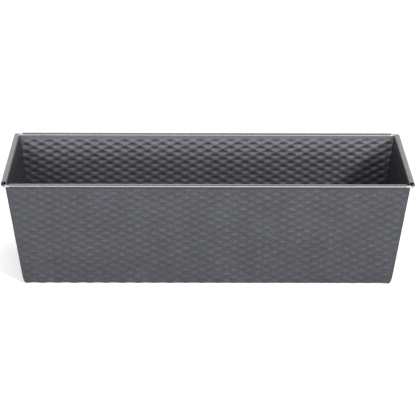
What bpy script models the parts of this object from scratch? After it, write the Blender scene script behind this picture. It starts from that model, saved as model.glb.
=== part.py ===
"""Loaf pan: one folded sheet-steel body whose four rims are rolled round one bent wire.

Metres, +Z up. The origin is the middle of the underside. X runs along the pan, Y across it.
"""

import math

import bmesh
import bpy
from mathutils import Matrix, Vector

MM = 0.001

# Driving dimensions
LENGTH = 255 * MM  # over the rolled end rims
WIDTH = 112 * MM  # over the rolled long rims
HEIGHT = 70 * MM  # underside to the top of the end rims
SHEET = 0.4 * MM  # coated steel sheet
WIRE_RADIUS = 0.8 * MM
LONG_LEAN = math.radians(7.6)  # outward lean of the long walls
END_LEAN = math.radians(7.9)  # outward lean of the end walls
LONG_CURL = 1.4 * MM  # outer radius of the roll along a long wall
END_CURL = 1.9 * MM  # wider: it also takes in the folded ears
LONG_CURL_STOP = 122 * MM  # half length of the long rolls
END_CURL_STOP = 51 * MM  # half length of the end rolls
LONG_CURL_END = math.radians(-125)  # where each roll's free edge stops round its centre
END_CURL_END = math.radians(-112)
FLOOR_BEND = 2.0 * MM  # inner radius between the floor and the walls
EAR_THICKNESS = 0.7 * MM  # the two pressed layers of a folded corner
EAR_BED = 0.25 * MM  # how deep an ear's solid is sunk into the end wall
EAR_FOOT = 2.5 * MM  # height at which an ear starts
EAR_TOP = 67.5 * MM  # an ear ends inside the roll of the end rim
EAR_EDGE = 0.2 * MM  # rounding of an ear's folded edge
CORNER_FOLD = 0.6 * MM  # rounding where a long wall turns round the corner into an ear
WIRE_Z = 68.0 * MM  # height of the wire's axis
WIRE_BEND = 2.0 * MM  # bend radius of the wire's axis at the corners
WIRE_SHIFT = 0.35 * MM  # the wire lies outside the middle of the end rolls
WIRE_GAP = 0.3 * MM  # butt joint of the wire, in the middle of the back rim
CLEAR = 0.05 * MM

# Worked out from those
LONG_CURL_Y = WIDTH / 2 - LONG_CURL
LONG_CURL_Z = WIRE_Z
END_CURL_X = LENGTH / 2 - END_CURL
END_CURL_Z = HEIGHT - END_CURL
CURL_STEPS = 18
BEND_STEPS = 5


def inner_x(z):
    """Distance of the end walls' inner face from the middle, at height z."""
    return END_CURL_X - END_CURL / math.cos(END_LEAN) - (END_CURL_Z - z) * math.tan(END_LEAN)


def inner_y(z):
    """Distance of the long walls' inner face from the middle, at height z."""
    return LONG_CURL_Y - LONG_CURL / math.cos(LONG_LEAN) - (LONG_CURL_Z - z) * math.tan(LONG_LEAN)


def bend_offset(radius, lean):
    """Distance from the sharp edge at which a bend between the floor and a wall starts."""
    return radius / math.tan((math.pi / 2 + lean) / 2)


def new_collection(name):
    collection = bpy.data.collections.new(name)
    bpy.context.scene.collection.children.link(collection)
    return collection


def new_material(name, colour, metallic, roughness):
    material = bpy.data.materials.new(name)
    material.use_nodes = True
    shader = material.node_tree.nodes["Principled BSDF"]
    shader.inputs["Base Color"].default_value = (*colour, 1)
    shader.inputs["Metallic"].default_value = metallic
    shader.inputs["Roughness"].default_value = roughness
    return material


def add_object(name, data, collection, material=None):
    item = bpy.data.objects.new(name, data)
    collection.objects.link(item)
    if material:
        data.materials.append(material)
    return item


def make_guide(item):
    item.hide_render = True
    item.display_type = "WIRE"


def open_tray(bm):
    """The pan's inner face: floor and four leaning walls, up to the height of the wire."""
    bmesh.ops.create_cube(bm, size=1)
    for vertex in bm.verts:
        z = SHEET if vertex.co.z < 0 else WIRE_Z
        vertex.co = (
            math.copysign(inner_x(z), vertex.co.x),
            math.copysign(inner_y(z), vertex.co.y),
            z,
        )
    mouth = [f for f in bm.faces if min(v.co.z for v in f.verts) > HEIGHT / 2]
    bmesh.ops.delete(bm, geom=mouth, context="FACES_ONLY")


def split_walls(bm):
    """Lines down the walls where the rolls stop short of the corners."""
    for axis, stop in ((0, LONG_CURL_STOP), (1, END_CURL_STOP)):
        for side in (-1, 1):
            point = Vector((0, 0, 0))
            point[axis] = side * stop
            normal = Vector((0, 0, 0))
            normal[axis] = 1
            everything = bm.verts[:] + bm.edges[:] + bm.faces[:]
            bmesh.ops.bisect_plane(bm, geom=everything, plane_co=point, plane_no=normal)


def roll_rim(bm, axis, side, stop, centre, radius, lean, last):
    """Extrudes one wall's top edge round the wire. axis is the one that the wall faces."""
    along = 1 - axis
    edges = [
        e
        for e in bm.edges
        if e.is_boundary
        and all(abs(v.co[along]) < stop + CLEAR and v.co[axis] * side > 0 for v in e.verts)
        and all(v.co.z > WIRE_Z - CLEAR for v in e.verts)
        and abs(e.verts[0].co[axis] - e.verts[1].co[axis]) < CLEAR
    ]
    first = math.pi - lean
    for step in range(CURL_STEPS + 1):
        angle = first + (last - first) * step / CURL_STEPS
        grown = bmesh.ops.extrude_edge_only(bm, edges=edges)["geom"]
        edges = [g for g in grown if isinstance(g, bmesh.types.BMEdge)]
        for vertex in (g for g in grown if isinstance(g, bmesh.types.BMVert)):
            vertex.co[axis] = side * (centre[0] + radius * math.cos(angle))
            vertex.co.z = centre[1] + radius * math.sin(angle)


def weigh_bends(bm):
    """Marks the floor's four edges for the Bevel modifier. The upright corners stay sharp folds."""
    weight = bm.edges.layers.float.new("bevel_weight_edge")
    for edge in bm.edges:
        low = all(v.co.z < SHEET + CLEAR for v in edge.verts)
        if low and edge.calc_face_angle() > math.radians(30):
            edge[weight] = 1.0


def make_body_sheet(collection, material):
    bm = bmesh.new()
    open_tray(bm)
    split_walls(bm)
    weigh_bends(bm)
    for side in (-1, 1):
        long_centre = (LONG_CURL_Y, LONG_CURL_Z)
        end_centre = (END_CURL_X, END_CURL_Z)
        roll_rim(bm, 1, side, LONG_CURL_STOP, long_centre, LONG_CURL, LONG_LEAN, LONG_CURL_END)
        roll_rim(bm, 0, side, END_CURL_STOP, end_centre, END_CURL, END_LEAN, END_CURL_END)
    mesh = bpy.data.meshes.new("pan_body")
    bm.to_mesh(mesh)
    bm.free()
    body = add_object("pan_body", mesh, collection, material)

    bends = body.modifiers.new("bends", "BEVEL")
    bends.limit_method = "WEIGHT"
    bends.width = bend_offset(FLOOR_BEND, LONG_LEAN)
    bends.segments = BEND_STEPS

    sheet = body.modifiers.new("sheet", "SOLIDIFY")
    sheet.thickness = SHEET
    sheet.offset = 1
    sheet.use_even_offset = True
    sheet.use_quality_normals = True
    return body


def mesh_from_curve(item, collection):
    """Replaces a curve object by a mesh object with welded caps."""
    graph = bpy.context.evaluated_depsgraph_get()
    graph.update()
    mesh = bpy.data.meshes.new_from_object(item.evaluated_get(graph))
    bm = bmesh.new()
    bm.from_mesh(mesh)
    bmesh.ops.remove_doubles(bm, verts=bm.verts, dist=0.001 * MM)
    bm.to_mesh(mesh)
    bm.free()
    name, matrix = item.name, item.matrix_world.copy()
    bpy.data.objects.remove(item)
    solid = add_object(name, mesh, collection)
    solid.matrix_world = matrix
    return solid


def ear_outline():
    """An ear on the end wall's plane: (across, up the slope), for the corner at positive across.

    The folded web of a corner is half of what is left of a right angle once the two
    walls' own spread is taken off, so that is the angle at the ear's foot.
    """
    up = math.cos(END_LEAN)
    spread_long = math.atan(math.tan(END_LEAN) * math.cos(LONG_LEAN))
    spread_end = math.atan(math.tan(LONG_LEAN) * math.cos(END_LEAN))
    fold = (math.pi / 2 - spread_long - spread_end) / 2 - spread_end
    outer = SHEET / math.cos(LONG_LEAN) - CLEAR
    corner = inner_y(SHEET) + outer
    foot = (EAR_FOOT - SHEET) / up
    top = (EAR_TOP - SHEET) / up
    return [
        (inner_y(EAR_FOOT) + outer, foot),
        (inner_y(EAR_TOP) + outer, top),
        (corner - top * math.tan(fold), top),
        (corner - foot * math.tan(fold), foot),
    ]


def weigh_ear(mesh):
    """Marks an ear's outer edges for rounding: the corner's in full, the folded ones less."""
    bm = bmesh.new()
    bm.from_mesh(mesh)
    weight = bm.edges.layers.float.new("bevel_weight_edge")
    outer = max(v.co.z for v in bm.verts)
    for edge in bm.edges:
        a, b = edge.verts
        if min(a.co.z, b.co.z) < outer - CLEAR:
            continue
        at_corner = min(abs(a.co.x), abs(b.co.x)) > inner_y(SHEET)
        rises = abs(a.co.y - b.co.y) > CLEAR
        edge[weight] = 1.0 if at_corner and rises else EAR_EDGE / CORNER_FOLD
    bm.to_mesh(mesh)
    bm.free()


def make_ear(name, end, side, collection):
    """A folded corner web, pressed flat on the outside of an end wall."""
    curve = bpy.data.curves.new(name, "CURVE")
    curve.dimensions = "2D"
    curve.fill_mode = "BOTH"
    curve.extrude = (EAR_THICKNESS + EAR_BED) / 2
    outline = ear_outline()
    spline = curve.splines.new("POLY")
    spline.points.add(len(outline) - 1)
    spline.use_cyclic_u = True
    for point, (across, up) in zip(spline.points, outline):
        point.co = (across * side * end, up, 0, 1)
    flat = add_object(name, curve, collection)
    # Local X runs across the pan, local Y up the end wall, local Z out of it.
    across = Vector((0, end, 0))
    slope = Vector((end * math.sin(END_LEAN), 0, math.cos(END_LEAN)))
    outward = across.cross(slope)
    middle = (EAR_THICKNESS - EAR_BED) / 2 + SHEET
    flat.matrix_world = Matrix.Translation(
        Vector((end * inner_x(SHEET), 0, SHEET)) + outward * middle
    ) @ Matrix((across, slope, outward)).transposed().to_4x4()
    bpy.context.view_layer.update()
    ear = mesh_from_curve(flat, collection)
    weigh_ear(ear.data)
    rounding = ear.modifiers.new("rounding", "BEVEL")
    rounding.limit_method = "WEIGHT"
    rounding.width = CORNER_FOLD
    rounding.segments = 4
    make_guide(ear)


def make_rim_wire(collection, material):
    """One wire bent round the four corners, with its ends butted inside the back roll."""
    half_x = END_CURL_X + WIRE_SHIFT
    half_y = LONG_CURL_Y
    path = [(WIRE_GAP / 2, half_y)]
    for quarter, (sx, sy) in enumerate(((1, 1), (1, -1), (-1, -1), (-1, 1))):
        centre = Vector((sx * (half_x - WIRE_BEND), sy * (half_y - WIRE_BEND)))
        for step in range(BEND_STEPS + 1):
            angle = math.pi / 2 * (1 - quarter - step / BEND_STEPS)
            path.append(centre + WIRE_BEND * Vector((math.cos(angle), math.sin(angle))))
    path.append((-WIRE_GAP / 2, half_y))

    curve = bpy.data.curves.new("rim_wire", "CURVE")
    curve.dimensions = "3D"
    curve.bevel_depth = WIRE_RADIUS
    curve.bevel_resolution = 3
    curve.use_fill_caps = True
    spline = curve.splines.new("POLY")
    spline.points.add(len(path) - 1)
    for point, (x, y) in zip(spline.points, path):
        point.co = (x, y, WIRE_Z, 1)
    return add_object("rim_wire", curve, collection, material)


def main():
    for item in list(bpy.data.objects):
        bpy.data.objects.remove(item, do_unlink=True)
    parts = new_collection("loaf_pan")
    guides = new_collection("guides")
    ears = bpy.data.collections.new("ears")
    guides.children.link(ears)
    coated = new_material("coated_steel", (0.105, 0.108, 0.122), 0.6, 0.42)
    bare = new_material("bare_steel_wire", (0.62, 0.62, 0.64), 1.0, 0.3)

    body = make_body_sheet(parts, coated)
    for end, end_name in ((-1, "left"), (1, "right")):
        for side, side_name in ((-1, "front"), (1, "back")):
            make_ear(f"ear_{end_name}_{side_name}", end, side, ears)
    join = body.modifiers.new("ears", "BOOLEAN")
    join.operation = "UNION"
    join.operand_type = "COLLECTION"
    join.collection = ears
    make_rim_wire(parts, bare)
    for face in body.data.polygons:
        face.use_smooth = True
    body.data.set_sharp_from_angle(angle=math.radians(30))


main()
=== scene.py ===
"""Looks of the loaf pan: one embossed, coated steel sheet, folded and rolled round a bright wire.

Metres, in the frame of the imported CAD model. The sheet is stamped with staggered diamonds
before it is folded, so the pattern is a function of the flat blank's own coordinates.
"""

import math

import bmesh
import bpy
import numpy as np
from mathutils import Matrix, Vector


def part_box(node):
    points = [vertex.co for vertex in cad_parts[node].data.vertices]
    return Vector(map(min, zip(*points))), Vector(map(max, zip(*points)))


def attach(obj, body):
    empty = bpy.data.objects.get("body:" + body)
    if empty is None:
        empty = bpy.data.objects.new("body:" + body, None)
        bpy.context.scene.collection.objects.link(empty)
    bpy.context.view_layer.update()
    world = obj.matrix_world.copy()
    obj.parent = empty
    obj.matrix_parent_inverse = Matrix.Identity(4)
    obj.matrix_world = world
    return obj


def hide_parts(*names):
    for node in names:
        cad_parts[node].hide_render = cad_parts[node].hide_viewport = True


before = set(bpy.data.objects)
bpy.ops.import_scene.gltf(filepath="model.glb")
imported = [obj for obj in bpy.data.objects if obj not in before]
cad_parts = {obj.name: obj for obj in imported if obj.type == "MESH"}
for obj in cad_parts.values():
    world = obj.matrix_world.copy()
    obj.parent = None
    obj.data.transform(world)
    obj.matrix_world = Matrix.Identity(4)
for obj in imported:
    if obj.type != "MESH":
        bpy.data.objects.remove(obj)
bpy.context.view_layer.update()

MM = 0.001

# The pan, as in the CAD model
BODY_LOW, BODY_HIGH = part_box("pan_body")
LENGTH = BODY_HIGH.x - BODY_LOW.x
WIDTH = BODY_HIGH.y - BODY_LOW.y
HEIGHT = BODY_HIGH.z - BODY_LOW.z
SHEET = 0.4 * MM
LONG_LEAN = math.radians(7.6)
END_LEAN = math.radians(7.9)
LONG_CURL = 1.4 * MM
END_CURL = 1.9 * MM
LONG_CURL_STOP = 122 * MM
END_CURL_STOP = 51 * MM
LONG_CURL_END = math.radians(-125)
END_CURL_END = math.radians(-112)
FLOOR_BEND = 2.0 * MM
EAR = 0.7 * MM
EAR_TOP = 67.5 * MM
CORNER_BEND = 0.8 * MM
WIRE_RADIUS = 0.8 * MM
WIRE_Z = 68.0 * MM
WIRE_BEND = 2.0 * MM
WIRE_SHIFT = 0.35 * MM
WIRE_GAP = 0.3 * MM

# The stamped diamonds, on the flat blank
CELL = (10 * MM, 5.016 * MM)
EMBOSS = 0.40 * MM
RIDGE_DEPTH = 0.33  # how far the ridges lie inside the CAD's walls, in parts of the stamp
PEAK_SHARE = 0.35  # how much of a diamond rises to a peak and isn't rounded off
SPINE_SOFTNESS = 0.035  # rounds the upright line through a diamond, in cells
PILLOW_SHARE = 0.38  # how far the sheet bridges the rolls' diamonds in rounder pillows
STAMP_TURN = math.radians(0.36)  # the blank is cut a little askew
STAMP_SHIFT = (1.2 * MM, 0.1 * MM)
STAMP_WEAR = 0.22  # the rolls' worn places stamp this much less deeply
WEAR_WAVES = ((2.3, 1.7, 0.0), (-3.1, 1.1, 0.6))  # per cell across and up, and their phase
STEP = (10 * MM / 12, 5 * MM / 8)  # mesh columns along X and along Y
FOLD_FADE = 1.3 * MM  # the stamp is flattened this near to a fold
RIM_PLAIN = 1.6 * MM  # plain band under the rolled rim
RIM_FADE = 3.2 * MM  # height over which the stamp dies out below that band
EAR_RAMP = (1.2 * MM, 4.7 * MM)  # heights between which an ear reaches its full thickness
EAR_CLOSE = 0.6 * MM  # height over which it is rounded off at its top
EAR_LEAST = 0.001 * MM  # an ear thinner than this has no thickness in the mesh
ROW_GAP = 0.2 * MM  # the least height between the last wall row and an ear's rounding

INF = math.inf
COLUMN_GAP = 0.3  # a mesh column stays this share of a step clear of a fold
BEND_STEPS = 7
CURL_STEPS = 22
FOLD_STEPS = 6
CLOSE_STEPS = 6
WIRE_STEPS = 12  # in a corner's quarter turn
WIRE_SIDES = 24
SHARP = math.radians(32)  # edges that turn more than this are shaded sharp
SIDES = (-1, 1)


def smoothstep(x):
    x = np.clip(x, 0, 1)
    return x * x * (3 - 2 * x)


class Wall:
    """One pair of walls in section. Distances are from the pan's middle, for the inner face."""

    def __init__(self, axis, lean, curl, curl_at, curl_z, curl_stop, curl_end):
        self.axis, self.lean = axis, lean
        self.curl, self.curl_at, self.curl_z = curl, curl_at, curl_z
        self.curl_stop, self.curl_end = curl_stop, curl_end
        self.step = STEP[1 - axis]
        self.bend_z = SHEET + FLOOR_BEND
        face = curl_at - curl / math.cos(lean) - (curl_z - self.bend_z) * math.tan(lean)
        self.bend_at = face - FLOOR_BEND / math.cos(lean)

    def height(self, rise, offset):
        """Height of a skin at a distance up the wall from the bend."""
        foot = self.bend_z - (FLOOR_BEND + offset) * math.sin(self.lean)
        return foot + rise * math.cos(self.lean)

    def section(self, z, offset):
        """(distance from the middle, outward normal across, normal up, blank coordinate)."""
        reach = FLOOR_BEND + offset
        sine = (z - self.bend_z) / reach
        if sine < -math.sin(self.lean):
            angle = math.asin(max(sine, -1))
            across = math.cos(angle)
            blank = self.bend_at + FLOOR_BEND * (angle + math.pi / 2)
            return self.bend_at + reach * across, across, sine, blank
        rise = (z - self.height(0, offset)) / math.cos(self.lean)
        blank = self.bend_at + FLOOR_BEND * (math.pi / 2 - self.lean) + rise
        half = self.bend_at + reach * math.cos(self.lean) + rise * math.sin(self.lean)
        return half, math.cos(self.lean), -math.sin(self.lean), blank

    def half(self, z, offset):
        return self.section(z, offset)[0]

    def place(self, side, along, across, z):
        """Points of a row on one side of the pan, as X, Y, Z."""
        points = np.empty((len(along), 3))
        points[:, 1 - self.axis] = along
        points[:, self.axis] = side * across
        points[:, 2] = z
        return points


LONG = Wall(
    1, LONG_LEAN, LONG_CURL, WIDTH / 2 - LONG_CURL, WIRE_Z, LONG_CURL_STOP, LONG_CURL_END
)
END = Wall(
    0, END_LEAN, END_CURL, LENGTH / 2 - END_CURL, HEIGHT - END_CURL, END_CURL_STOP, END_CURL_END
)
BLANK_TOP = {wall: wall.section(WIRE_Z, 0)[3] for wall in (LONG, END)}


def stamp(bx, by):
    """Height of the stamp on the blank: 0 where ridges cross, about EMBOSS inside a diamond."""
    near = []
    u_all = (np.asarray(bx) - STAMP_SHIFT[0] + STAMP_TURN * np.asarray(by)) / CELL[0]
    v_all = (np.asarray(by) - STAMP_SHIFT[1] - STAMP_TURN * np.asarray(bx)) / CELL[1]
    for shift in (0.0, 0.5):
        u, v = u_all - shift, v_all - shift
        du, dv = u - np.round(u), v - np.round(v)
        near.append(2 * (np.hypot(du, SPINE_SOFTNESS) - SPINE_SOFTNESS) + 2 * np.abs(dv))
    inside = np.clip(1 - np.minimum(*near), 0, 1)
    wear = sum(np.sin(a * u_all + b * v_all + phase) for a, b, phase in WEAR_WAVES) / 2
    depth = EMBOSS * (1 - STAMP_WEAR * (1 + wear) / 2)
    round_dent = inside**2 * (3 - 2 * inside)
    diamond = round_dent + PEAK_SHARE * (inside**2 - round_dent)
    pillow = (1 + np.cos(2 * math.pi * u_all) * np.cos(2 * math.pi * v_all)) / 2
    return depth * (diamond + PILLOW_SHARE * (pillow - diamond))


def level(up):
    """How far the ridges lie inside the CAD's faces: more where the sheet turns under the floor."""
    flat = (abs(up) - math.sin(END_LEAN)) / (1 - math.sin(END_LEAN))
    return EMBOSS * (RIDGE_DEPTH + (1 - RIDGE_DEPTH) * max(flat, 0))


def rim_fade(wall, blank):
    return smoothstep((BLANK_TOP[wall] - RIM_PLAIN - blank) / RIM_FADE)


def wall_points(wall, side, z, offset, along, fold):
    """Points of one wall's skin at height z. The stamp is flattened towards the folds at +-fold."""
    half, across, up, blank = wall.section(z, offset)
    along = np.asarray(along, float)
    grid = (along, side * blank) if wall is LONG else (side * blank, along)
    fade = smoothstep((fold - np.abs(along)) / FOLD_FADE) * rim_fade(wall, blank)
    push = fade * (stamp(*grid) - level(up))
    return wall.place(side, along, half + across * push, z + up * push)


def columns(low, high, step):
    """Whole numbers of steps between two places, clear of both."""
    first, last = math.ceil(low / step + COLUMN_GAP), math.floor(high / step - COLUMN_GAP)
    return list(range(first, last + 1))


class Surface:
    """Points and faces of the sheet. A row is a list of (key, point), in order along the wall."""

    def __init__(self):
        self.points, self.faces = [], []

    def add(self, points):
        first = len(self.points)
        self.points.extend(map(tuple, points))
        return list(range(first, len(self.points)))

    def row(self, keys, points, ends):
        return [(-INF, ends[0]), *zip(keys, self.add(points)), (INF, ends[1])]

    def face(self, loop):
        loop = [v for v, before in zip(loop, loop[-1:] + loop[:-1]) if v != before]
        if len(loop) >= 3:
            self.faces.append(loop)

    def bridge(self, low, high):
        """Faces between two rows: squares where they share keys, polygons round the others."""
        at_low = {key: i for i, (key, _) in enumerate(low)}
        at_high = {key: i for i, (key, _) in enumerate(high)}
        shared = [key for key, _ in low if key in at_high]
        for a, b in zip(shared, shared[1:]):
            bottom = [v for _, v in low[at_low[a] : at_low[b] + 1]]
            top = [v for _, v in high[at_high[a] : at_high[b] + 1]]
            self.face(bottom + top[::-1])

    def strip(self, low, high):
        """Faces between two equally long lists of points."""
        for i in range(len(low) - 1):
            self.face([low[i], low[i + 1], high[i + 1], high[i]])


def wall_levels(offset):
    """Heights of a skin's rows: steps round the floor bend, then the stamp's rows up to the rim."""
    reach = FLOOR_BEND + offset
    angles = np.linspace(-math.pi / 2, -LONG.lean, BEND_STEPS)
    heights = [LONG.bend_z + reach * math.sin(a) for a in angles]
    foot, top = LONG.section(heights[-1], offset)[3], BLANK_TOP[LONG]
    rises = [k * STEP[1] - foot for k in columns(foot, top, STEP[1])] + [top - foot]
    return heights + [LONG.height(rise, offset) for rise in rises]


def corner_points(surface, z, offset):
    x, y = END.half(z, offset), LONG.half(z, offset)
    return {(sx, sy): surface.add([(sx * x, sy * y, z)])[0] for sx in SIDES for sy in SIDES}


def plain_rows(surface, z, offset, stops=False):
    """One row of each wall, from corner to corner. stops adds the places where the rolls end."""
    corners = corner_points(surface, z, offset)
    rows = {}
    for wall, other in ((LONG, END), (END, LONG)):
        reach = other.half(z, offset)
        keys = columns(-reach, reach, wall.step)
        if stops:
            stop = wall.curl_stop / wall.step
            keys = sorted(set(keys) | {-stop, stop})
        along = np.array(keys) * wall.step
        for side in SIDES:
            ends = [corners[(s, side) if wall is LONG else (side, s)] for s in SIDES]
            points = wall_points(wall, side, z, offset, along, reach)
            rows[(wall, side)] = surface.row(keys, points, ends)
    return rows


def lay_floor(surface, edge, offset):
    """The floor between the lowest rows of the four walls."""
    z = SHEET - offset
    left, right = dict(edge[(END, -1)]), dict(edge[(END, 1)])
    x_end, y_end = END.half(z, offset), LONG.half(z, offset)
    before = edge[(LONG, -1)]
    keys = [key for key, _ in before[1:-1]]
    x = np.array(keys) * STEP[0]
    for key in sorted(k for k in left if abs(k) < INF):
        y = np.full_like(x, key * STEP[1])
        gap = np.hypot(x_end - np.abs(x), y_end - np.abs(y))
        push = smoothstep(gap / FOLD_FADE) * (stamp(x, y) - level(-1))
        row = surface.row(keys, np.column_stack((x, y, z - push)), (left[key], right[key]))
        surface.bridge(before, row)
        before = row
    surface.bridge(before, edge[(LONG, 1)])


def climb(surface, rows, above):
    for key in above:
        surface.bridge(rows[key], above[key])
    return above


def inner_skin(surface):
    levels = wall_levels(0)
    rows = plain_rows(surface, levels[0], 0)
    lay_floor(surface, rows, 0)
    for z in levels[1:]:
        rows = climb(surface, rows, plain_rows(surface, z, 0, stops=z == levels[-1]))
    return rows


# A folded corner: the web of sheet between two walls, laid double on the outside of the end wall
SPREAD_LONG = math.atan(math.tan(END_LEAN) * math.cos(LONG_LEAN))
SPREAD_END = math.atan(math.tan(LONG_LEAN) * math.cos(END_LEAN))
FOLD_ANGLE = (math.pi / 2 - SPREAD_LONG - SPREAD_END) / 2 - SPREAD_END
EAR_APEX = LONG.half(LONG.bend_z, SHEET) - (LONG.bend_z - SHEET) * math.tan(LONG_LEAN)


def ear_at(z):
    """(thickness, bend radius, distance of the folded edge from the middle) at height z."""
    share = float(smoothstep((z - EAR_RAMP[0]) / (EAR_RAMP[1] - EAR_RAMP[0])))
    close = min(max((z - EAR_TOP + EAR_CLOSE) / EAR_CLOSE, 0), 1)
    share *= math.sqrt(1 - close * close)
    edge = EAR_APEX - max(z - SHEET, 0) / math.cos(END_LEAN) * math.tan(FOLD_ANGLE)
    return EAR / math.cos(END_LEAN) * share, CORNER_BEND * share, edge


def ear_points(sx, sy, z, along, thick, bend, edge):
    """Points of an ear's face, stamped as the long wall's sheet continued round the corner."""
    half, across, up, blank_end = END.section(z, SHEET)
    y_corner, _, _, blank = LONG.section(z, SHEET)
    turn = SPREAD_LONG + SPREAD_END
    past = y_corner - along - (2 - math.pi / 2) * bend  # an arc is shorter than a square corner
    bx = half + thick + past * math.cos(turn)
    by = blank - past * math.sin(turn)
    fade = smoothstep((y_corner - along - bend) / FOLD_FADE)
    fade = fade * smoothstep((along - edge - 0.5 * thick) / FOLD_FADE) * rim_fade(END, blank_end)
    push = fade * (stamp(sx * bx, sy * by) - level(up))
    return np.column_stack((sx * (half + thick + across * push), sy * along, z + up * push))


def eared_rows(surface, z):
    """The outer skin at height z, in pieces that run round the pan's folded corners."""
    thick, bend, edge = ear_at(z)
    x_face, y_face = END.half(z, SHEET), LONG.half(z, SHEET)
    rows = {}
    turns = np.linspace(0, math.pi / 2, FOLD_STEPS)
    for sx in SIDES:
        for sy in SIDES:
            if thick < EAR_LEAST:
                corner = surface.add([(sx * x_face, sy * y_face, z)]) * FOLD_STEPS
                fold = surface.add([(sx * x_face, sy * edge, z)]) * FOLD_STEPS
            else:
                x = x_face + thick - bend * (1 - np.sin(turns))
                y = y_face - bend * (1 - np.cos(turns))
                corner = surface.add(END.place(sx, sy * y, x, z))
                x, y = x_face + thick * np.cos(turns), edge + thick / 2 * (1 - np.sin(turns))
                fold = surface.add(END.place(sx, sy * y, x, z))
            keys = columns(edge + thick / 2, y_face - bend, STEP[1])
            along = np.array(keys, float) * STEP[1]
            points = ear_points(sx, sy, z, along, thick, bend, edge)
            rows[("corner", sx, sy)], rows[("fold", sx, sy)] = corner, fold
            rows[("ear", sx, sy)] = surface.row(keys, points, (fold[0], corner[-1]))
    for side in SIDES:
        reach = x_face + thick - bend
        keys = columns(-reach, reach, STEP[0])
        points = wall_points(LONG, side, z, SHEET, np.array(keys) * STEP[0], reach)
        ends = [rows[("corner", s, side)][0] for s in SIDES]
        rows[(LONG, side)] = surface.row(keys, points, ends)
        keys = columns(-edge, edge, STEP[1])
        points = wall_points(END, side, z, SHEET, np.array(keys) * STEP[1], edge)
        ends = [rows[("fold", side, s)][-1] for s in SIDES]
        rows[(END, side)] = surface.row(keys, points, ends)
    return rows


def flatten(rows):
    """Rows of an ear without thickness, joined end to end as plain rows."""
    flat = {(LONG, side): rows[(LONG, side)] for side in SIDES}
    for side in SIDES:
        front, back = rows[("ear", side, -1)], rows[("ear", side, 1)]
        middle = rows[(END, side)]
        row = [(-key, v) for key, v in front[::-1]][:-1]
        row += [("front fold", middle[0][1]), *middle[1:-1], ("back fold", middle[-1][1])]
        flat[(END, side)] = row + back[1:]
    return flat


def join_eared(surface, low, high):
    for key in low:
        join = surface.strip if key[0] in ("corner", "fold") else surface.bridge
        join(low[key], high[key])


def outer_skin(surface):
    levels = wall_levels(SHEET)
    rows = plain_rows(surface, levels[0], SHEET)
    lay_floor(surface, rows, SHEET)
    start = max(i for i, z in enumerate(levels) if z <= EAR_RAMP[0])
    stop = max(i for i, z in enumerate(levels) if z <= EAR_TOP)
    angles = np.linspace(0, math.pi / 2, CLOSE_STEPS)
    closing = [EAR_TOP - EAR_CLOSE * (1 - math.sin(a)) for a in angles]
    eared = [z for z in levels[start : stop + 1] if z < closing[0] - ROW_GAP] + closing
    for z in levels[1:start]:
        rows = climb(surface, rows, plain_rows(surface, z, SHEET))
    pieces = eared_rows(surface, eared[0])
    climb(surface, rows, flatten(pieces))
    for z in eared[1:]:
        above = eared_rows(surface, z)
        join_eared(surface, pieces, above)
        pieces = above
    rows = flatten(pieces)
    for z in levels[stop + 1 :]:
        rows = climb(surface, rows, plain_rows(surface, z, SHEET, stops=z == levels[-1]))
    return rows


def roll_rim(surface, wall, side, inner, outer):
    """Rolls a wall's top round the wire between the stops, and closes the edge beyond them."""
    stop = wall.curl_stop / wall.step
    turned = []
    for rows, radius in ((inner, wall.curl), (outer, wall.curl - SHEET)):
        row = [(key, v) for key, v in rows if abs(key) <= stop]
        keys = [key for key, _ in row]
        along = np.array(keys) * wall.step
        ends = ([row[0][1]], [row[-1][1]])
        for angle in np.linspace(math.pi - wall.lean, wall.curl_end, CURL_STEPS):
            across = wall.curl_at + radius * math.cos(angle)
            z = wall.curl_z + radius * math.sin(angle)
            points = wall.place(side, along, np.full_like(along, across), np.full_like(along, z))
            above = list(zip(keys, surface.add(points)))
            surface.bridge(row, above)
            row = above
            ends[0].append(row[0][1])
            ends[1].append(row[-1][1])
        turned.append((row, ends))
    (outside, outside_ends), (inside, inside_ends) = turned
    surface.bridge(outside, inside)
    for a, b in zip(outside_ends, inside_ends):
        surface.strip(a, b)
    for end in SIDES:
        beyond = [[item for item in rows if end * item[0] >= stop] for rows in (inner, outer)]
        surface.bridge(*beyond)


def new_object(name, bm):
    mesh = bpy.data.meshes.new(name)
    bm.to_mesh(mesh)
    bm.free()
    item = bpy.data.objects.new(name, mesh)
    bpy.context.scene.collection.objects.link(item)
    return item


def make_pan():
    surface = Surface()
    inner, outer = inner_skin(surface), outer_skin(surface)
    for key in inner:
        roll_rim(surface, *key, inner[key], outer[key])
    mesh = bpy.data.meshes.new("embossed_body")
    mesh.from_pydata(surface.points, [], surface.faces)
    bm = bmesh.new()
    bm.from_mesh(mesh)
    bpy.data.meshes.remove(mesh)
    bmesh.ops.recalc_face_normals(bm, faces=bm.faces)
    for face in bm.faces:
        face.smooth = True
    for edge in bm.edges:
        edge.smooth = edge.calc_face_angle(0) < SHARP
    return new_object("embossed_body", bm)


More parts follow.
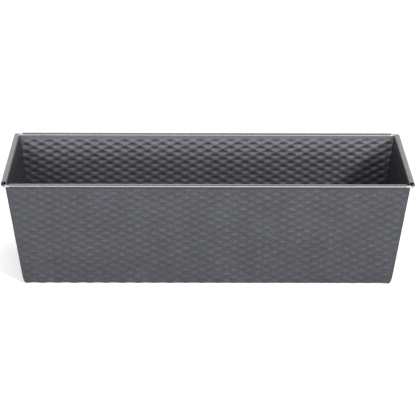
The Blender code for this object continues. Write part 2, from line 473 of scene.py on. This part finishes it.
def make_wire():
    """One wire bent round the four corners, with its ends butted inside the back roll."""
    half_x, half_y = END.curl_at + WIRE_SHIFT, LONG.curl_at
    path = [(WIRE_GAP / 2, half_y)]
    for quarter, (sx, sy) in enumerate(((1, 1), (1, -1), (-1, -1), (-1, 1))):
        centre = Vector((sx * (half_x - WIRE_BEND), sy * (half_y - WIRE_BEND)))
        for step in range(WIRE_STEPS + 1):
            angle = math.pi / 2 * (1 - quarter - step / WIRE_STEPS)
            path.append(centre + WIRE_BEND * Vector((math.cos(angle), math.sin(angle))))
    path.append((-WIRE_GAP / 2, half_y))
    path = [Vector((*point, WIRE_Z)) for point in path]
    bm = bmesh.new()
    rings = []
    for i, point in enumerate(path):
        ahead = (path[min(i + 1, len(path) - 1)] - path[max(i - 1, 0)]).normalized()
        aside = ahead.cross(Vector((0, 0, 1)))
        ring = []
        for k in range(WIRE_SIDES):
            angle = 2 * math.pi * k / WIRE_SIDES
            around = aside * math.cos(angle) + Vector((0, 0, math.sin(angle)))
            ring.append(bm.verts.new(point + WIRE_RADIUS * around))
        rings.append(ring)
    for a, b in zip(rings, rings[1:]):
        for k in range(WIRE_SIDES):
            bm.faces.new((a[k], a[k - 1], b[k - 1], b[k])).smooth = True
    bm.faces.new(rings[0])
    bm.faces.new(rings[-1][::-1])
    bmesh.ops.recalc_face_normals(bm, faces=bm.faces)
    return new_object("drawn_wire", bm)


def new_material(name, metallic):
    material = bpy.data.materials.new(name)
    material.use_nodes = True
    shader = material.node_tree.nodes["Principled BSDF"]
    shader.inputs["Metallic"].default_value = metallic
    return material, material.node_tree, shader


def add_noise(tree, scale, detail=2.0, roughness=0.5):
    """Noise in the pan's own coordinates. scale is in grains per metre."""
    place = tree.nodes.new("ShaderNodeTexCoord")
    noise = tree.nodes.new("ShaderNodeTexNoise")
    noise.inputs["Scale"].default_value = scale
    noise.inputs["Detail"].default_value = detail
    noise.inputs["Roughness"].default_value = roughness
    tree.links.new(place.outputs["Object"], noise.inputs["Vector"])
    return noise.outputs["Fac"]


def add_range(tree, value, low, high, spread=(0.3, 0.7)):
    """Maps the middle of a noise to a range of numbers."""
    node = tree.nodes.new("ShaderNodeMapRange")
    node.inputs["From Min"].default_value, node.inputs["From Max"].default_value = spread
    node.inputs["To Min"].default_value, node.inputs["To Max"].default_value = low, high
    tree.links.new(value, node.inputs["Value"])
    return node.outputs["Result"]


def feed(tree, sockets, values):
    """Gives each socket a node's output or a plain value."""
    for socket, value in zip(sockets, values):
        if isinstance(value, bpy.types.NodeSocket):
            tree.links.new(value, socket)
        else:
            socket.default_value = value


def add_mix(tree, share, low, high, blend="MIX"):
    """Mixes two colours. Sockets 6 and 7, and output 2, are the node's colour ones."""
    node = tree.nodes.new("ShaderNodeMix")
    node.data_type = "RGBA"
    node.blend_type = blend
    feed(tree, (node.inputs["Factor"], node.inputs[6], node.inputs[7]), (share, low, high))
    return node.outputs[2]


def add_math(tree, operation, *values):
    node = tree.nodes.new("ShaderNodeMath")
    node.operation = operation
    feed(tree, node.inputs, values)
    return node.outputs["Value"]


def add_bump(tree, shader, height, distance, strength=1.0):
    bump = tree.nodes.new("ShaderNodeBump")
    bump.inputs["Distance"].default_value = distance
    feed(tree, (bump.inputs["Strength"], bump.inputs["Height"]), (strength, height))
    tree.links.new(bump.outputs["Normal"], shader.inputs["Normal"])


# The coating. Scales of grain are in grains per metre, colours are linear.
COAT_METAL = 0.8
COAT_GLAZE, COAT_GLAZE_ROUGHNESS = 0.35, 0.3
COAT_DARK, COAT_LIGHT = (0.0225, 0.0233, 0.0280, 1), (0.0600, 0.0619, 0.0710, 1)
MOTTLE_DARK, MOTTLE_LIGHT = (0.9, 0.9, 0.9, 1), (1.1, 1.1, 1.1, 1)
FLECKS, MOTTLES, SATIN, PITS = 1700, 60, 900, 1300
COAT_ROUGHNESS = (0.46, 0.54)
COAT_PITS = 0.012 * MM
RIM_GLOSS_AND_HIGHLIGHT_HEIGHTS = (0.0677, 0.0689)  # heights between which the rims' smoother coat and painted highlight set in
# lighter colour on the rims: a painted highlight
RIM_PAINTED_HIGHLIGHT_COLOUR = (0.15, 0.15, 0.156, 1)
BURNISHED_ROUGHNESS = -0.26  # added to the coating's
BURNISHED_PITS = 0.3  # how much of the coating's pits is left
LONG_RIM_HIGHLIGHT_REACH = (0.0528, 0.0533)  # |Y| between which the long rims' painted highlight sets in
# lighter colour on the long rims' curls: a painted highlight
LONG_RIM_PAINTED_HIGHLIGHT_COLOUR = (0.16, 0.16, 0.166, 1)

# The wire
WIRE_DARK, WIRE_LIGHT = (0.25, 0.25, 0.26, 1), (0.38, 0.38, 0.39, 1)
WIRE_GRAIN, WIRE_SHEEN = 1500, 900
WIRE_ROUGHNESS = (0.18, 0.34)
WIRE_PITS = 0.01 * MM


def coated_steel():
    """Baked-on anthracite coating: satin, with a fine metallic fleck; smoother on the rims, where a
    lighter colour is a painted highlight.
    """
    material, tree, shader = new_material("coated_steel_looks", COAT_METAL)
    shader.inputs["Coat Weight"].default_value = COAT_GLAZE
    shader.inputs["Coat Roughness"].default_value = COAT_GLAZE_ROUGHNESS
    fleck = add_noise(tree, FLECKS, 2.0, 0.6)
    colour = add_mix(tree, add_range(tree, fleck, 0, 1), COAT_DARK, COAT_LIGHT)
    mottle = add_range(tree, add_noise(tree, MOTTLES, 3.0), 0, 1)
    shade = add_mix(tree, mottle, MOTTLE_DARK, MOTTLE_LIGHT)
    colour = add_mix(tree, 1.0, colour, shade, "MULTIPLY")
    split = tree.nodes.new("ShaderNodeSeparateXYZ")
    tree.links.new(tree.nodes.new("ShaderNodeTexCoord").outputs["Object"], split.inputs["Vector"])
    # the rims, by height: a smoother, less pitted coat, and a lighter colour that is a painted
    # highlight
    rim_gloss_and_highlight = add_range(tree, split.outputs["Z"], 0, 1, RIM_GLOSS_AND_HIGHLIGHT_HEIGHTS)
    colour = add_mix(tree, rim_gloss_and_highlight, colour, RIM_PAINTED_HIGHLIGHT_COLOUR)
    # the long rims' curls get a further lighter colour: a painted highlight
    reach = add_math(tree, "ABSOLUTE", split.outputs["Y"])
    long_rim_painted_highlight = add_math(tree, "MULTIPLY", rim_gloss_and_highlight, add_range(tree, reach, 0, 1, LONG_RIM_HIGHLIGHT_REACH))
    colour = add_mix(tree, long_rim_painted_highlight, colour, LONG_RIM_PAINTED_HIGHLIGHT_COLOUR)
    tree.links.new(colour, shader.inputs["Base Color"])
    rough = add_range(tree, add_noise(tree, SATIN, 3.0), *COAT_ROUGHNESS)
    rough = add_math(tree, "MULTIPLY_ADD", rim_gloss_and_highlight, BURNISHED_ROUGHNESS, rough)
    tree.links.new(rough, shader.inputs["Roughness"])
    depth = add_range(tree, rim_gloss_and_highlight, 1, BURNISHED_PITS)
    add_bump(tree, shader, add_noise(tree, PITS, 3.0, 0.6), COAT_PITS, depth)
    return material


def bright_wire():
    """Drawn steel wire: bright, with a fine grain."""
    material, tree, shader = new_material("bright_wire_looks", 1.0)
    grain = add_noise(tree, WIRE_GRAIN, 2.0)
    colour = add_mix(tree, add_range(tree, grain, 0, 1), WIRE_DARK, WIRE_LIGHT)
    tree.links.new(colour, shader.inputs["Base Color"])
    rough = add_range(tree, add_noise(tree, WIRE_SHEEN, 2.0), *WIRE_ROUGHNESS)
    tree.links.new(rough, shader.inputs["Roughness"])
    add_bump(tree, shader, grain, WIRE_PITS)
    return material


# The camera, fitted to the photograph's outlines
LENS, SENSOR = 184.46, 36
CLIP = (0.05, 20)
TARGET = Vector((0.448, 0, 35.44)) * MM
DISTANCE = 1370.07 * MM
PITCH, YAW, ROLL = 0.3274, -0.0076, -0.0044


def put_camera():
    data = bpy.data.cameras.new("camera")
    data.sensor_width, data.lens = SENSOR, LENS
    data.clip_start, data.clip_end = CLIP
    camera = bpy.data.objects.new("camera", data)
    bpy.context.scene.collection.objects.link(camera)
    right = Vector((math.cos(YAW), math.sin(YAW), 0))
    level_ahead = Vector((-math.sin(YAW), math.cos(YAW), 0))
    ahead = level_ahead * math.cos(PITCH) - Vector((0, 0, math.sin(PITCH)))
    up = right.cross(ahead)
    rolled_right = math.cos(ROLL) * right - math.sin(ROLL) * up
    rolled_up = math.sin(ROLL) * right + math.cos(ROLL) * up
    turn = Matrix((rolled_right, rolled_up, -ahead)).transposed().to_4x4()
    camera.matrix_world = Matrix.Translation(TARGET - ahead * DISTANCE) @ turn
    bpy.context.scene.camera = camera


def area_light(name, place, size, power):
    data = bpy.data.lights.new(name, "AREA")
    data.shape = "RECTANGLE"
    data.size, data.size_y = size
    data.energy = power
    light = bpy.data.objects.new(name, data)
    bpy.context.scene.collection.objects.link(light)
    turn = (LIGHT_AIM - place).to_track_quat("-Z", "Y").to_matrix().to_4x4()
    light.matrix_world = Matrix.Translation(place) @ turn


# Softboxes: (name, direction from the pan, distance, size, watts)
SOFTBOXES = (
    ("overhead", (0, 0, 1), 1.6, (0.9, 0.9), 2.8),
    ("front", (0, -0.946, 0.325), 1.8, (1.2, 0.4), 6.0),
    ("low_front", (0, -0.99, 0.14), 1.8, (1.0, 0.25), 16.5),
    ("right_front", (0.47, -0.79, 0.4), 1.8, (0.2, 0.2), 29.0),
    ("left_front", (-0.42, -0.8, 0.42), 1.8, (0.4, 0.4), 11.5),
    ("high_back", (0, 0.5, 0.86), 1.8, (1.2, 0.5), 8.0),
    ("backdrop", (0, 0.96, 0.27), 1.8, (2.0, 0.6), 3.2),
)
LIGHT_AIM = Vector((0, 0, 0.03))
AMBIENT = 0.22
TABLE_WHITE = 0.97
TABLE_GLOW = 0.36  # keeps the floor as white as the photograph's
TABLE_HALF = 4


def light_studio():
    world = bpy.data.worlds.new("studio")
    world.use_nodes = True
    background = world.node_tree.nodes["Background"]
    background.inputs["Color"].default_value = (1, 1, 1, 1)
    background.inputs["Strength"].default_value = AMBIENT
    bpy.context.scene.world = world
    bpy.context.scene.view_settings.view_transform = "Standard"
    for name, direction, distance, size, power in SOFTBOXES:
        area_light(name, Vector(direction).normalized() * distance, size, power)


def lay_ground():
    bm = bmesh.new()
    bmesh.ops.create_grid(bm, x_segments=1, y_segments=1, size=TABLE_HALF)
    floor = new_object("floor", bm)
    material, _, shader = new_material("studio_floor", 0.0)
    shader.inputs["Base Color"].default_value = (TABLE_WHITE, TABLE_WHITE, TABLE_WHITE, 1)
    shader.inputs["Roughness"].default_value = 0.9
    shader.inputs["Specular IOR Level"].default_value = 0.0
    shader.inputs["Emission Color"].default_value = (1, 1, 1, 1)
    shader.inputs["Emission Strength"].default_value = TABLE_GLOW
    floor.data.materials.append(material)


def main():
    put_camera()
    light_studio()
    lay_ground()
    for piece, node, slot, material in (
        (make_pan(), "pan_body", "coated_steel", coated_steel()),
        (make_wire(), "rim_wire", "bare_steel_wire", bright_wire()),
    ):
        piece.data.materials.append(material)
        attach(piece, "root")
        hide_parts(node)


main()
